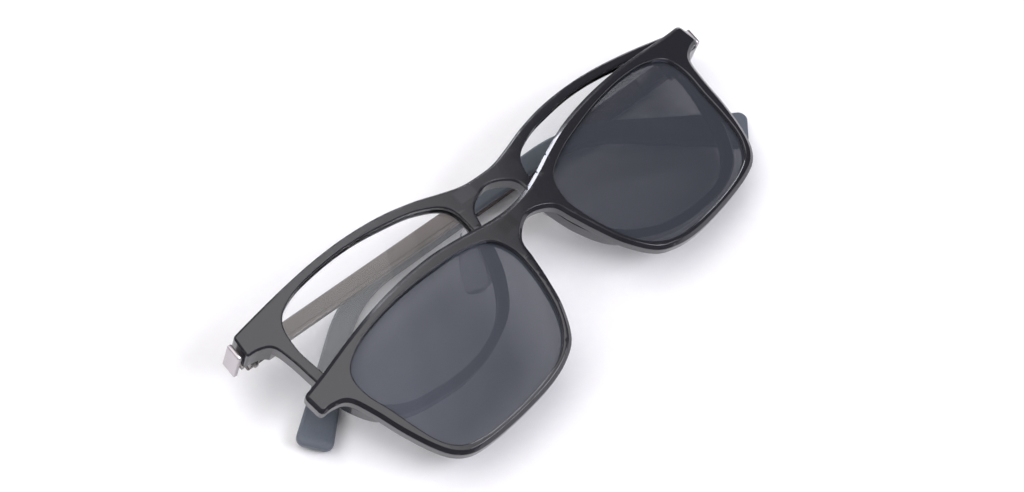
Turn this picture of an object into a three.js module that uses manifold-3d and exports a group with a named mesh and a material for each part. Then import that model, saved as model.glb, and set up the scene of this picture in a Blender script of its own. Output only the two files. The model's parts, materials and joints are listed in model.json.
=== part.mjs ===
// Full-rim spectacles, folded and lying lenses up, with a magnetic sun clip-on resting on them.
// Units are millimetres. The set is drawn in the front's own frame (x across the face, y towards
// the brow, z out of the lenses) and then tilted as it lies on a table, with +Z up.
import * as THREE from "three";
import { mergeVertices } from "three/addons/utils/BufferGeometryUtils.js";
import Module from "manifold-3d";

const wasm = await Module();
wasm.setup();

// ---- driving dimensions -------------------------------------------------------------------
const GAP = 0.3; // clearance between pieces that would touch
const FACE_R = 380; // radius of the front's outer face, one sphere about a point behind it
const RIM_DEPTH = 4.2; // thickness of the rims and the bridge
const END_BACK = -13.2; // the flat seat behind each endpiece that carries its hinge leaf
const END_FROM = 61.4; // the endpieces thicken outside this distance from the centre
const END_LOW = 5.5; // and above this height

const LENS_DEPTH = 1.6; // clear lens thickness
const LENS_LIP = 1.3; // plastic in front of the clear lens groove
const GROOVE = 1.0; // how far a lens groove is cut into the rim
const SEAT = 0.7; // how far a lens edge reaches into its groove

const CLIP_GAP = 0.4; // air between the front and the clip
const CLIP_DEPTH = 3.4;
const SUN_LIP = 1.3; // plastic in front of the sun lens groove
const SUN_DEPTH = 1.0;
const CLIP_POLE = [72, 10.4]; // the point of the front that the clip swings about
const CLIP_TURN = 9.5; // degrees that the clip lies away from its seat

const MAGNET = [3.6, 2.2, 1.6];
const MAGNET_AT = [5.6, 8.3]; // across and up from the centre of the bridge

// The angles at which the folded set lies steady on three points of its temples.
const TILT = 15.01; // degrees, brow raised
const ROLL = 3.69; // degrees, the side over the outer temple raised

const HINGE_U = 66.8; // hinge axis, from the centre
const HINGE_V = 10.4;
const HINGE_Z = -16.6;
const BARREL_R = 1.6;
const BARREL_H = 1.6; // height of one of the three barrels
const SCREW_R = 0.7;
const SCREW_HEAD_R = 1.15;
const SCREW_HEAD_HIGH = 0.6;

const CAP_SIZE = [1.2, 4.4, 10.6]; // metal end cap: thick, high, deep
const CAP_FROM = 0.7; // the cap starts this far behind the outer face

const TEMPLE_LENGTH = 143;
const BEND_AT = 90; // start of the ear bend, from the hinge
const BEND_R = 34;
const BEND_ANGLE = 39; // degrees
const BOW = 8; // how far the tip curves in towards the head
const BAR_HEIGHT = 4.6;
const BAR_THICK = 1.8;
const BAR_OUT = 2.8; // from the hinge axis out to the middle of the bar
const BAR_FRONT = 1.2; // the bar starts this far in front of the axis
const SLEEVE_FROM = 64;
const TANG_END = 122;
const TANG = [2.6, 1.0];
const FOLD_SHORT = 3.5; // degrees by which the outer temple stops short of the inner one

// ---- outlines of the front and of the clip, right half, x across and y up -----------------
const FRONT_BROW = [[0, 10.2], [5, 10.5], [10.4, 12], [16.6, 14], [24.7, 15.8], [34.3, 16.7],
  [43.7, 16.6], [53.5, 15.7], [62.4, 14.5], [70.2, 13.3]];
const FRONT_LOW = [[70.6, 7.4], [67.4, 7], [64.6, 5.2], [63.2, 0], [62, -8], [60, -15.5], [56, -22],
  [49.3, -25.8], [41, -27.2], [32.5, -27.3], [24, -25.2], [16.2, -20.8], [11.4, -14], [8.8, -7],
  [7.6, -1], [6, 4.2], [0, 7]];
const FRONT_OPENING = [[35, 14.6], [26.5, 13.6], [18.2, 11.8], [11.6, 8], [9.9, 1.4], [11.2, -6],
  [13.8, -12.8], [18.6, -19.4], [26, -23.6], [33, -25], [41, -24.9], [48.6, -23.4], [54.2, -19.6],
  [57.8, -13], [59.6, -5.6], [60.6, 2.2], [59.2, 9.2], [53.4, 12.9], [44.3, 14.4]];
const CLIP_BROW = [[0, 11], [5, 11.4], [10.2, 12.6], [16.5, 14.4], [24.7, 16.2], [34.3, 17],
  [43.7, 16.9], [53.5, 16], [62.4, 14.8], [69, 14.2]];
const CLIP_LOW = [[69.3, 8.1], [65.9, 7.6], [62.9, 5.6], [61.2, -0.3], [59.9, -7.3], [58, -14.4],
  [55.9, -19.2], [52.9, -22.2], [48.6, -23.7], [42, -24.6], [34, -25], [27, -24.8], [21, -23.6],
  [15.8, -20.8], [11.4, -14.2], [8.8, -7], [7.2, -1.3], [5.6, 3.6], [0, 6.4]];
const CLIP_OPENING = [[35.2, 14.3], [26.8, 13.3], [18.6, 11.7], [11.9, 8.6], [9.5, 3], [9.9, -3],
  [11.4, -9], [13.6, -14.6], [16.8, -18.9], [21.2, -21.7], [27, -22.9], [34, -23.2], [41, -22.9],
  [47.4, -21.9], [52.4, -19.8], [55.4, -15.7], [56.9, -9.6], [57.9, -2.4], [59, 4.4], [57.8, 10],
  [52.6, 13.2], [44.4, 14.4]];

// ---- materials -----------------------------------------------------------------------------
function finish(color, roughness, metalness) {
  return new THREE.MeshStandardMaterial({ color, roughness, metalness });
}

const greyPlastic = finish("#4d4e54", 0.25, 0);
const clearPlastic = finish("#b9bac0", 0.2, 0);
const clearLens = finish("#eef1f3", 0.05, 0);
const sunLens = finish("#3a3d47", 0.08, 0);
const capMetal = finish("#c9c5c6", 0.35, 1);
const hingeMetal = finish("#8d8a88", 0.35, 1);
const barMetal = finish("#6d6664", 0.4, 1);
const rubber = finish("#59616a", 0.75, 0);
const magnetNickel = finish("#6f7076", 0.3, 1);

// ---- geometry helpers ----------------------------------------------------------------------
const SPAN_STEPS = 2; // facets between two neighbouring points of an outline
const REACH = 30; // half the length of the prisms that cut and trim
const SHELL_RINGS = 8;
const SHELL_SIDES = 36;
const SHELL_SPREAD = 13.5; // degrees from the middle of the face to beyond its ends

// A closed three.js geometry as a solid for joining and cutting.
function solid(geometry) {
  const bare = geometry.clone();
  bare.deleteAttribute("normal");
  bare.deleteAttribute("uv");
  const merged = mergeVertices(bare, 1e-4);
  return new wasm.Manifold(new wasm.Mesh({
    numProp: 3,
    vertProperties: new Float32Array(merged.attributes.position.array),
    triVerts: new Uint32Array(merged.index.array),
  }));
}

// A joined or cut solid back as a three.js geometry.
function geometryOf(body) {
  const mesh = body.getMesh();
  const geometry = new THREE.BufferGeometry();
  const corners = new THREE.BufferAttribute(mesh.vertProperties, mesh.numProp);
  geometry.setAttribute("position", corners);
  geometry.setIndex(new THREE.BufferAttribute(mesh.triVerts, 1));
  geometry.computeVertexNormals();
  return geometry;
}

// Evenly spaced numbers, both ends included.
function span(from, to, count) {
  return Array.from({ length: count + 1 }, (_, i) => from + (to - from) * i / count);
}

// Points along a smooth curve through the given ones.
function pointsAlong(points, perSpan) {
  const curve = new THREE.SplineCurve(points.map(([x, y]) => new THREE.Vector2(x, y)));
  return curve.getPoints((points.length - 1) * perSpan);
}

// A whole outline from its right half: the brow, then the lower edge back to the centre.
function wholeOutline(brow, low) {
  const half = [...pointsAlong(brow, SPAN_STEPS), ...pointsAlong(low, SPAN_STEPS)];
  const mirrored = half.slice(1, -1).reverse().map((p) => new THREE.Vector2(-p.x, p.y));
  return [...half, ...mirrored];
}

// A closed lens opening on one side of the face, moved outwards by an offset.
function openingOutline(points, side, offset) {
  const loop = pointsAlong([...points, points[0]], SPAN_STEPS).slice(0, -1);
  const count = loop.length;
  const moved = loop.map((p, i) => {
    const along = loop[(i + 1) % count].clone().sub(loop[(i + count - 1) % count]).normalize();
    return new THREE.Vector2(p.x + along.y * offset * turn(loop), p.y - along.x * offset * turn(loop));
  });
  return moved.map((p) => new THREE.Vector2(p.x * side, p.y));
}

// +1 where a loop runs anticlockwise, so that its outward side is on the right.
function turn(loop) {
  return THREE.ShapeUtils.isClockWise(loop) ? -1 : 1;
}

// A straight prism over an outline, long enough to reach past the moulding on both sides.
function prism(outline) {
  const geometry = new THREE.ExtrudeGeometry(new THREE.Shape(outline), {
    depth: 2 * REACH,
    bevelEnabled: false,
  });
  geometry.translate(0, 0, -REACH);
  return solid(geometry);
}

function block(width, height, depth, x, y, z) {
  const geometry = new THREE.BoxGeometry(width, height, depth);
  geometry.translate(x, y, z);
  return geometry;
}

// A spherical shell about the front's centre of curvature, between two distances behind the face.
function shell(nearDepth, farDepth) {
  const angles = span(0, THREE.MathUtils.degToRad(SHELL_SPREAD), SHELL_RINGS);
  const far = angles.map((angle) => arcPoint(FACE_R - farDepth, angle));
  const near = angles.map((angle) => arcPoint(FACE_R - nearDepth, angle)).reverse();
  const geometry = new THREE.LatheGeometry([...far, ...near], SHELL_SIDES);
  geometry.rotateX(Math.PI / 2);
  geometry.translate(0, 0, -FACE_R);
  return solid(geometry);
}

function arcPoint(radius, angle) {
  return new THREE.Vector2(radius * Math.sin(angle), radius * Math.cos(angle));
}

// The z of the sphere a given depth behind the outer face.
function faceZ(x, y, depth) {
  const radius = FACE_R - depth;
  return Math.sqrt(radius * radius - x * x - y * y) - FACE_R;
}

// A closed skin over rings of points that all have the same count, ends included.
function loft(rings) {
  const count = rings[0].length;
  const corners = rings.flat();
  const middle = (ring) => ring.reduce((sum, p) => sum.add(p), new THREE.Vector3())
    .divideScalar(count);
  corners.push(middle(rings[0]), middle(rings[rings.length - 1]));
  const firstMiddle = corners.length - 2;
  const lastMiddle = corners.length - 1;
  const lastRing = (rings.length - 1) * count;
  let faces = [];
  for (let i = 0; i < count; i += 1) {
    const next = (i + 1) % count;
    for (let r = 0; r < rings.length - 1; r += 1) {
      const a = r * count;
      const b = a + count;
      faces.push([a + i, a + next, b + next], [a + i, b + next, b + i]);
    }
    faces.push([firstMiddle, next, i], [lastMiddle, lastRing + i, lastRing + next]);
  }
  if (volume(corners, faces) < 0) {
    faces = faces.map(([a, b, c]) => [a, c, b]);
  }
  const geometry = new THREE.BufferGeometry().setFromPoints(corners);
  geometry.setIndex(faces.flat());
  geometry.computeVertexNormals();
  return geometry;
}

function volume(corners, faces) {
  const cross = new THREE.Vector3();
  return faces.reduce((sum, [a, b, c]) => (
    sum + corners[a].dot(cross.crossVectors(corners[b], corners[c])) / 6), 0);
}

// Points round a rectangle with rounded corners, centred on its own middle.
function roundedRectangle(width, height, radius) {
  const points = [];
  const steps = 3;
  for (let corner = 0; corner < 4; corner += 1) {
    const sx = corner === 0 || corner === 3 ? 1 : -1;
    const sy = corner < 2 ? 1 : -1;
    for (let i = 0; i <= steps; i += 1) {
      const angle = (corner + i / steps) * Math.PI / 2;
      points.push([
        sx * (width / 2 - radius) + radius * Math.cos(angle),
        sy * (height / 2 - radius) + radius * Math.sin(angle),
      ]);
    }
  }
  return points;
}

function cylinder(radius, bottom, top, x, z, sides = 20) {
  const geometry = new THREE.CylinderGeometry(radius, radius, top - bottom, sides);
  geometry.translate(x, (bottom + top) / 2, z);
  return geometry;
}

const set = new THREE.Group();

function add(name, geometry, material, parent = set) {
  const mesh = new THREE.Mesh(geometry, material);
  mesh.name = name;
  parent.add(mesh);
  return mesh;
}

const SIDES = [["right", -1], ["left", 1]];

// ---- the front: rims, bridge and endpieces in one moulding ---------------------------------
// The rear of the front carries the lens grooves, magnet pockets and rivet holes.
const RIVET_U = 63.4;
const RIVET_V = [HINGE_V - 1.3, HINGE_V + 1.3];
const RIVET_R = 0.5;
const LEAF_FRONT = END_BACK - GAP;
const LEAF_THICK = 1.1;
const RIVET_TIP = END_BACK + 2;
const RIVET_SHANK = RIVET_TIP - (LEAF_FRONT - LEAF_THICK - GAP);
const MAGNET_Z = -RIM_DEPTH + MAGNET[2] / 2 + 0.1;
const END_NEAR = 1; // the thick endpieces run between these depths, then are cut flat
const END_FAR = 12;

function rimmed(brow, low, opening, near, far, lip, lensDepth) {
  let body = prism(wholeOutline(brow, low)).intersect(shell(near, far));
  const grooveShell = shell(near + lip, near + lip + lensDepth + 2 * GAP);
  for (const [, side] of SIDES) {
    body = body.subtract(prism(openingOutline(opening, side, 0)));
    const groove = prism(openingOutline(opening, side, GROOVE)).intersect(grooveShell);
    body = body.subtract(groove);
  }
  return body;
}

function frontFrame() {
  let body = rimmed(FRONT_BROW, FRONT_LOW, FRONT_OPENING, 0, RIM_DEPTH, LENS_LIP, LENS_DEPTH);
  const whole = prism(wholeOutline(FRONT_BROW, FRONT_LOW));
  const thick = whole.intersect(shell(END_NEAR, END_FAR));
  for (const [, side] of SIDES) {
    const keep = block(14, 14, 20, side * (END_FROM + 7), END_LOW + 7, END_BACK + 10);
    body = body.add(thick.intersect(solid(keep)));
    const pocket = block(MAGNET[0] + 2 * GAP, MAGNET[1] + 2 * GAP, MAGNET[2] + 4 * GAP,
      side * MAGNET_AT[0], MAGNET_AT[1], MAGNET_Z - 0.5);
    body = body.subtract(solid(pocket));
    for (const v of RIVET_V) {
      const hole = cylinder(RIVET_R + GAP, 0, 4, 0, 0, 12);
      hole.rotateX(-Math.PI / 2);
      hole.translate(side * RIVET_U, v, RIVET_TIP + GAP);
      body = body.subtract(solid(hole));
    }
  }
  return geometryOf(body);
}

function lens(opening, side, near, depth) {
  const body = prism(openingOutline(opening, side, SEAT))
    .intersect(shell(near, near + depth));
  return geometryOf(body);
}

add("front_frame", frontFrame(), greyPlastic);
for (const [name, side] of SIDES) {
  add(`clear_lens_${name}`, lens(FRONT_OPENING, side, LENS_LIP + GAP, LENS_DEPTH), clearLens);
}
for (const [name, side] of SIDES) {
  const magnet = block(...MAGNET, side * MAGNET_AT[0], MAGNET_AT[1], MAGNET_Z);
  add(`front_magnet_${name}`, magnet, magnetNickel);
}

// ---- nose pads: blades that splay outwards behind the nasal rims ---------------------------
const PAD_ROWS = [
  { x: 8.9, y: 2.6, deep: 3.2, splay: 1.0 },
  { x: 9.2, y: 0, deep: 7.0, splay: 2.4 },
  { x: 9.7, y: -2.8, deep: 8.8, splay: 3.6 },
  { x: 10.5, y: -5.8, deep: 9.2, splay: 4.4 },
  { x: 11.7, y: -9, deep: 8.0, splay: 4.4 },
  { x: 13.0, y: -11.6, deep: 3.6, splay: 2.2 },
];
const PAD_THICK = 1.6;

function nosePad(side) {
  const rings = PAD_ROWS.map(({ x, y, deep, splay }) => {
    const front = faceZ(x, y, RIM_DEPTH) - GAP;
    return roundedRectangle(deep, PAD_THICK, 0.7).map(([along, across]) => {
      const back = (along + deep / 2) / deep;
      const out = splay * back * back;
      return new THREE.Vector3(side * (x + out + across), y, front - back * deep);
    });
  });
  return loft(rings);
}

for (const [name, side] of SIDES) {
  add(`nose_pad_${name}`, nosePad(side), clearPlastic);
}

// ---- hinges: end cap, leaf with two barrels, rivets and screw ------------------------------
const PITCH = BARREL_H + GAP; // spacing of the three barrels along the axis
const CAP_U = 71.2; // inner face of the end caps, from the centre
const LEAF_FROM = 61.9; // inner edge of the leaf, from the centre
const LEAF_HIGH = 5.2;
const WEB_DEEP = 2.2; // the web that joins each barrel to the leaf
const SCREW_LONG = 6.2;
const SLOT_WIDE = 0.5;
const SLOT_DEEP = 0.4;

function hingeLeaf(side) {
  const leafZ = LEAF_FRONT - LEAF_THICK / 2;
  const width = CAP_U - GAP - LEAF_FROM;
  const across = side * (LEAF_FROM + width / 2);
  let body = solid(block(width, LEAF_HIGH, LEAF_THICK, across, HINGE_V, leafZ));
  for (const step of [-1, 1]) {
    const middle = HINGE_V + step * PITCH;
    const low = middle - BARREL_H / 2;
    const webZ = leafZ - (LEAF_THICK + WEB_DEEP) / 2 + 0.45;
    const web = block(2 * BARREL_R, BARREL_H, WEB_DEEP, side * HINGE_U, middle, webZ);
    body = body.add(solid(cylinder(BARREL_R, low, low + BARREL_H, side * HINGE_U, HINGE_Z)));
    body = body.add(solid(web));
  }
  const bore = cylinder(SCREW_R + GAP, HINGE_V - 5, HINGE_V + 5, side * HINGE_U, HINGE_Z, 16);
  body = body.subtract(solid(bore));
  for (const v of RIVET_V) {
    const hole = cylinder(RIVET_R + GAP, -2, 2, 0, 0, 12);
    hole.rotateX(Math.PI / 2);
    hole.translate(side * RIVET_U, v, leafZ);
    body = body.subtract(solid(hole));
  }
  return geometryOf(body);
}

function rivet(side, v) {
  const pin = new THREE.LatheGeometry([
    [0, 0], [RIVET_R, 0], [RIVET_R, RIVET_SHANK], [RIVET_R + 0.5, RIVET_SHANK],
    [RIVET_R + 0.4, RIVET_SHANK + 0.4], [0, RIVET_SHANK + 0.5],
  ].map(([x, y]) => new THREE.Vector2(x, y)), 12);
  pin.rotateX(-Math.PI / 2);
  pin.translate(side * RIVET_U, v, RIVET_TIP);
  return pin;
}

function hingeScrew(side) {
  const top = HINGE_V + PITCH + BARREL_H / 2;
  const tip = top - SCREW_LONG;
  const headTop = top + GAP + SCREW_HEAD_HIGH;
  const profile = [[0, tip], [SCREW_R - 0.2, tip], [SCREW_R, tip + 0.2], [SCREW_R, top + GAP],
    [SCREW_HEAD_R, top + GAP], [SCREW_HEAD_R, headTop - 0.2], [SCREW_HEAD_R - 0.2, headTop],
    [0, headTop]];
  const screw = new THREE.LatheGeometry(profile.map(([x, y]) => new THREE.Vector2(x, y)), 16);
  screw.translate(side * HINGE_U, 0, HINGE_Z);
  const slot = block(3, SLOT_WIDE, SLOT_DEEP, side * HINGE_U, headTop, HINGE_Z);
  return geometryOf(solid(screw).subtract(solid(slot)));
}

function endCap(side) {
  const [thick, high, deep] = CAP_SIZE;
  const front = faceZ(CAP_U, HINGE_V, CAP_FROM);
  const edge = 0.35;
  const rings = [[front, edge], [front - edge, 0], [front - deep + edge, 0], [front - deep, edge]]
    .map(([z, inset]) => roundedRectangle(thick - inset, high - inset, 0.3).map(([x, y]) => (
      new THREE.Vector3(side * (CAP_U + thick / 2 + x), HINGE_V + y, z))));
  return loft(rings);
}

for (const [name, side] of SIDES) {
  add(`end_cap_${name}`, endCap(side), capMetal);
  add(`hinge_leaf_${name}`, hingeLeaf(side), hingeMetal);
  add(`leaf_rivet_lower_${name}`, rivet(side, RIVET_V[0]), hingeMetal);
  add(`leaf_rivet_upper_${name}`, rivet(side, RIVET_V[1]), hingeMetal);
  add(`hinge_screw_${name}`, hingeScrew(side), hingeMetal);
}

// ---- temples: one metal strip, a hinge knuckle and a moulded sleeve ------------------------
// A temple is drawn folded, with its axis at the origin, x along it and z towards the lenses.
// The wearer's left temple lies outermost, so it stops short of the right one.
function templePath(s) {
  const bend = THREE.MathUtils.degToRad(BEND_ANGLE);
  const turned = THREE.MathUtils.clamp((s - BEND_AT) / BEND_R, 0, bend);
  const rest = Math.max(0, s - BEND_AT - BEND_R * bend);
  const curl = Math.max(0, (s - BEND_AT + 6) / (TEMPLE_LENGTH - BEND_AT + 6));
  return {
    x: Math.min(s, BEND_AT) + BEND_R * Math.sin(turned) + rest * Math.cos(bend),
    y: -BEND_R * (1 - Math.cos(turned)) - rest * Math.sin(bend),
    z: -BAR_OUT + BOW * curl ** 1.7,
    turned,
  };
}

// A ring across the temple at s, with its height, thickness and corner radius.
function templeRing(side, s, height, thick, radius) {
  const at = templePath(s);
  return roundedRectangle(height, thick, radius).map(([up, out]) => new THREE.Vector3(
    -side * (at.x + up * Math.sin(at.turned)),
    at.y + up * Math.cos(at.turned),
    at.z + out,
  ));
}

function templeBar(side) {
  const bar = span(-BAR_FRONT, SLEEVE_FROM - GAP, 4)
    .map((s) => templeRing(side, s, BAR_HEIGHT, BAR_THICK, 0.4));
  const tang = span(SLEEVE_FROM - 2, TANG_END, 14)
    .map((s) => templeRing(side, s, TANG[0], TANG[1], 0.3));
  return geometryOf(solid(loft(bar)).add(solid(loft(tang))));
}

function sleeveSize(s) {
  const along = (s - SLEEVE_FROM) / (TEMPLE_LENGTH - SLEEVE_FROM);
  const flare = Math.max(0, (s - 100) / (TEMPLE_LENGTH - 100));
  return [5.0 + 4.2 * flare ** 1.3, 2.4 + 1.0 * along ** 1.5];
}

function templeSleeve(side) {
  const stations = [...span(SLEEVE_FROM, BEND_AT, 4), ...span(BEND_AT + 3, TEMPLE_LENGTH - 3, 14)];
  const rings = stations.map((s) => {
    const [height, thick] = sleeveSize(s);
    return templeRing(side, s, height, thick, 0.8);
  });
  const [endHeight, endThick] = sleeveSize(TEMPLE_LENGTH);
  rings.push(templeRing(side, TEMPLE_LENGTH - 1.2, endHeight - 0.8, endThick - 0.4, 0.9));
  rings.push(templeRing(side, TEMPLE_LENGTH, endHeight - 3.4, endThick - 1.6, 0.6));
  const slot = span(SLEEVE_FROM - 1, TANG_END + 1, 16)
    .map((s) => templeRing(side, s, TANG[0] + 2 * GAP, TANG[1] + 2 * GAP, 0.3));
  return geometryOf(solid(loft(rings)).subtract(solid(loft(slot))));
}

// The knuckle is a barrel with a plate that is welded to the inner side of the bar.
const KNUCKLE_PLATE = [7, 3.4, 0.9]; // long, high, thick
const KNUCKLE_NECK = 2.4;
const KNUCKLE_FROM = 2.8; // the plate starts this far from the axis

function templeKnuckle(side) {
  const [long, high, thick] = KNUCKLE_PLATE;
  const plateZ = -BAR_OUT + BAR_THICK / 2 + GAP + thick / 2;
  const neckX = -side * (KNUCKLE_FROM - KNUCKLE_NECK / 2 + GAP);
  const plateX = -side * (KNUCKLE_FROM + long / 2);
  let body = solid(cylinder(BARREL_R, -BARREL_H / 2, BARREL_H / 2, 0, 0));
  body = body.add(solid(block(KNUCKLE_NECK, BARREL_H, thick, neckX, 0, plateZ)));
  body = body.add(solid(block(long, high, thick, plateX, 0, plateZ)));
  body = body.subtract(solid(cylinder(SCREW_R + GAP, -3, 3, 0, 0, 16)));
  return geometryOf(body);
}

for (const [name, side] of SIDES) {
  const temple = new THREE.Group();
  temple.position.set(side * HINGE_U, HINGE_V, HINGE_Z);
  temple.rotation.y = side > 0 ? THREE.MathUtils.degToRad(-FOLD_SHORT) : 0;
  add(`temple_bar_${name}`, templeBar(side), barMetal, temple);
  add(`temple_knuckle_${name}`, templeKnuckle(side), hingeMetal, temple);
  add(`temple_sleeve_${name}`, templeSleeve(side), rubber, temple);
  set.add(temple);
}

// ---- the sun clip-on: seated shape, swung about its pole to where it lies ------------------
const CLIP_NEAR = -(CLIP_GAP + CLIP_DEPTH); // depths behind the front's face, so negative is proud
const CLIP_MAGNET_Z = CLIP_GAP + 0.1 + MAGNET[2] / 2;

function clipFrame() {
  let body = rimmed(CLIP_BROW, CLIP_LOW, CLIP_OPENING, CLIP_NEAR, -CLIP_GAP, SUN_LIP, SUN_DEPTH);
  for (const [, side] of SIDES) {
    const pocket = block(MAGNET[0] + 2 * GAP, MAGNET[1] + 2 * GAP, MAGNET[2] + 4 * GAP,
      side * MAGNET_AT[0], MAGNET_AT[1], CLIP_MAGNET_Z - 0.5);
    body = body.subtract(solid(pocket));
  }
  return geometryOf(body);
}

const clip = new THREE.Group();
add("clip_frame", clipFrame(), greyPlastic, clip);
for (const [name, side] of SIDES) {
  add(`sun_lens_${name}`, lens(CLIP_OPENING, side, CLIP_NEAR + SUN_LIP + GAP, SUN_DEPTH), sunLens, clip);
}
for (const [name, side] of SIDES) {
  const magnet = block(...MAGNET, side * MAGNET_AT[0], MAGNET_AT[1], CLIP_MAGNET_Z);
  add(`clip_magnet_${name}`, magnet, magnetNickel, clip);
}

// The clip turns about the line from the centre of curvature to the pole, so it slides on the
// front with the same gap everywhere.
const centre = new THREE.Vector3(0, 0, -FACE_R);
const pole = new THREE.Vector3(...CLIP_POLE, faceZ(...CLIP_POLE, 0));
const clipAxis = pole.clone().sub(centre).normalize();
clip.quaternion.setFromAxisAngle(clipAxis, THREE.MathUtils.degToRad(CLIP_TURN));
clip.position.copy(centre).sub(centre.clone().applyQuaternion(clip.quaternion));
set.add(clip);

// ---- laid on the table: tilted, then moved so that its box stands centred on the origin ----
set.rotation.set(THREE.MathUtils.degToRad(TILT), THREE.MathUtils.degToRad(ROLL), 0);
const box = new THREE.Box3().setFromObject(set, true);
const middle = box.getCenter(new THREE.Vector3());
set.position.set(-middle.x, -middle.y, -box.min.z);

export default set;
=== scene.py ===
# Folded full-rim spectacles with a magnetic sun clip-on lying on them, on a pale table.
import json
import math
import bmesh
import bpy
from mathutils import Matrix, Vector


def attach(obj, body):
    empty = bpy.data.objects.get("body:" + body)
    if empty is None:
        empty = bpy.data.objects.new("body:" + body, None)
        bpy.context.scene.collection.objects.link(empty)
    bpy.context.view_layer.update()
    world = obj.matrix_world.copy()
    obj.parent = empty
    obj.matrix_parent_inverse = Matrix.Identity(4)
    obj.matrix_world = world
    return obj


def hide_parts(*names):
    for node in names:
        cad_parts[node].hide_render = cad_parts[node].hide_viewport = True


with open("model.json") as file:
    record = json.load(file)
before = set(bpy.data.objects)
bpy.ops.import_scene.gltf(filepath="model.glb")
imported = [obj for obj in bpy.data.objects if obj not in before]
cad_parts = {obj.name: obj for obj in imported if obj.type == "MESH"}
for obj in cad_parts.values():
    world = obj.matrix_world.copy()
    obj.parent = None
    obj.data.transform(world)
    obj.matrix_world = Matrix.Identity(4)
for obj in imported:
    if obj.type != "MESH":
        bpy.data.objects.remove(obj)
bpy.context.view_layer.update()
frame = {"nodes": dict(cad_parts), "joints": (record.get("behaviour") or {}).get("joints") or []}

# ---- the table and the view ----
# A matt white laminate top, far larger than the spectacles, seen from above the lower rims on the
# wearer's right. An overhead soft box in layers fades out towards its edge, a narrow far box
# draws the bright line along the brow edges, and a weak fill box stands beside the lower rims.
MM = 0.001


def colour(code):
    """An sRGB hex code as the linear colour that shaders use."""
    parts = [int(code[i:i + 2], 16) / 255 for i in (1, 3, 5)]
    return [c / 12.92 if c <= 0.04045 else ((c + 0.055) / 1.055) ** 2.4 for c in parts] + [1.0]


def node(tree, kind, inputs=None, **settings):
    """Adds a node with its settings, and sets or links each input that is given."""
    made = tree.nodes.new(kind)
    for key, value in settings.items():
        setattr(made, key, value)
    for key, value in (inputs or {}).items():
        if isinstance(value, bpy.types.NodeSocket):
            tree.links.new(value, made.inputs[key])
        else:
            made.inputs[key].default_value = value
    return made


def surface(name, **inputs):
    """A new material with one Principled shader, and the tree, shader and coordinates in it.

    A value that is given here and linked later stays as the plain one beside its pattern.
    """
    made = bpy.data.materials.new(name)
    made.use_nodes = True
    tree = made.node_tree
    tree.nodes.clear()
    plain = {key.replace("_", " "): value for key, value in inputs.items()}
    shader = node(tree, "ShaderNodeBsdfPrincipled", plain)
    node(tree, "ShaderNodeOutputMaterial", {"Surface": shader.outputs["BSDF"]})
    coordinates = node(tree, "ShaderNodeTexCoord").outputs["Object"]
    return made, tree, shader, coordinates


def add_piece(name, mesh, finish, sharp_degrees=28):
    """A smooth-shaded object for a finished mesh, with creases kept above an angle."""
    mesh.materials.clear()
    mesh.materials.append(finish)
    for face in mesh.polygons:
        face.use_smooth = True
        face.material_index = 0
    mesh.set_sharp_from_angle(angle=math.radians(sharp_degrees))
    made = bpy.data.objects.new(name, mesh)
    bpy.context.scene.collection.objects.link(made)
    return made


def mesh_of(bm, name):
    """Closes a bmesh build: merges doubles, turns the faces outwards and makes the mesh."""
    bmesh.ops.remove_doubles(bm, verts=bm.verts, dist=1e-7)
    bmesh.ops.recalc_face_normals(bm, faces=bm.faces)
    mesh = bpy.data.meshes.new(name)
    bm.to_mesh(mesh)
    bm.free()
    return mesh


laminate, tree, shader, at = surface("white laminate", Roughness=0.6)
mottle = node(tree, "ShaderNodeTexNoise", {"Vector": at, "Scale": 400.0, "Detail": 3.0})
tint = node(tree, "ShaderNodeMix", {"Factor": mottle.outputs["Fac"], "A": colour("#fbfafc"),
                                    "B": colour("#ffffff")}, data_type="RGBA")
tree.links.new(tint.outputs["Result"], shader.inputs["Base Color"])

TABLE_HALF = 3.0
bm = bmesh.new()
bmesh.ops.create_grid(bm, x_segments=2, y_segments=2, size=TABLE_HALF)
table = add_piece("table_top", mesh_of(bm, "table_top"), laminate)

VIEW_AZIMUTH = math.radians(-37.3)
VIEW_ELEVATION = math.radians(55.8)
VIEW_ROLL = math.radians(-3.8)
VIEW_DISTANCE = 0.803
VIEW_LENS, VIEW_SENSOR = 117.7, 36
VIEW_CENTRE = Vector((0.0032, 0.0131, 0.0011))
back = Vector((math.sin(VIEW_AZIMUTH) * math.cos(VIEW_ELEVATION),
               -math.cos(VIEW_AZIMUTH) * math.cos(VIEW_ELEVATION), math.sin(VIEW_ELEVATION)))
level = Vector((math.cos(VIEW_AZIMUTH), math.sin(VIEW_AZIMUTH), 0))
rightward = level * math.cos(VIEW_ROLL) + back.cross(level) * math.sin(VIEW_ROLL)
lens_data = bpy.data.cameras.new("camera")
lens_data.lens = VIEW_LENS
lens_data.sensor_width = VIEW_SENSOR
camera = bpy.data.objects.new("camera", lens_data)
camera.matrix_world = (Matrix.Translation(VIEW_CENTRE + back * VIEW_DISTANCE)
                       @ Matrix((rightward, back.cross(rightward), back)).transposed().to_4x4())
bpy.context.scene.collection.objects.link(camera)
bpy.context.scene.camera = camera


def soft_box(name, place_m, size_m, watts, tone):
    """A rectangular soft box that faces the spectacles."""
    data = bpy.data.lights.new(name, "AREA")
    data.shape = "RECTANGLE"
    data.size, data.size_y = size_m
    data.energy = watts
    data.color = colour(tone)[:3]
    box = bpy.data.objects.new(name, data)
    box.location = place_m
    box.rotation_euler = Vector(place_m).to_track_quat("Z", "Y").to_euler()
    bpy.context.scene.collection.objects.link(box)


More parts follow.
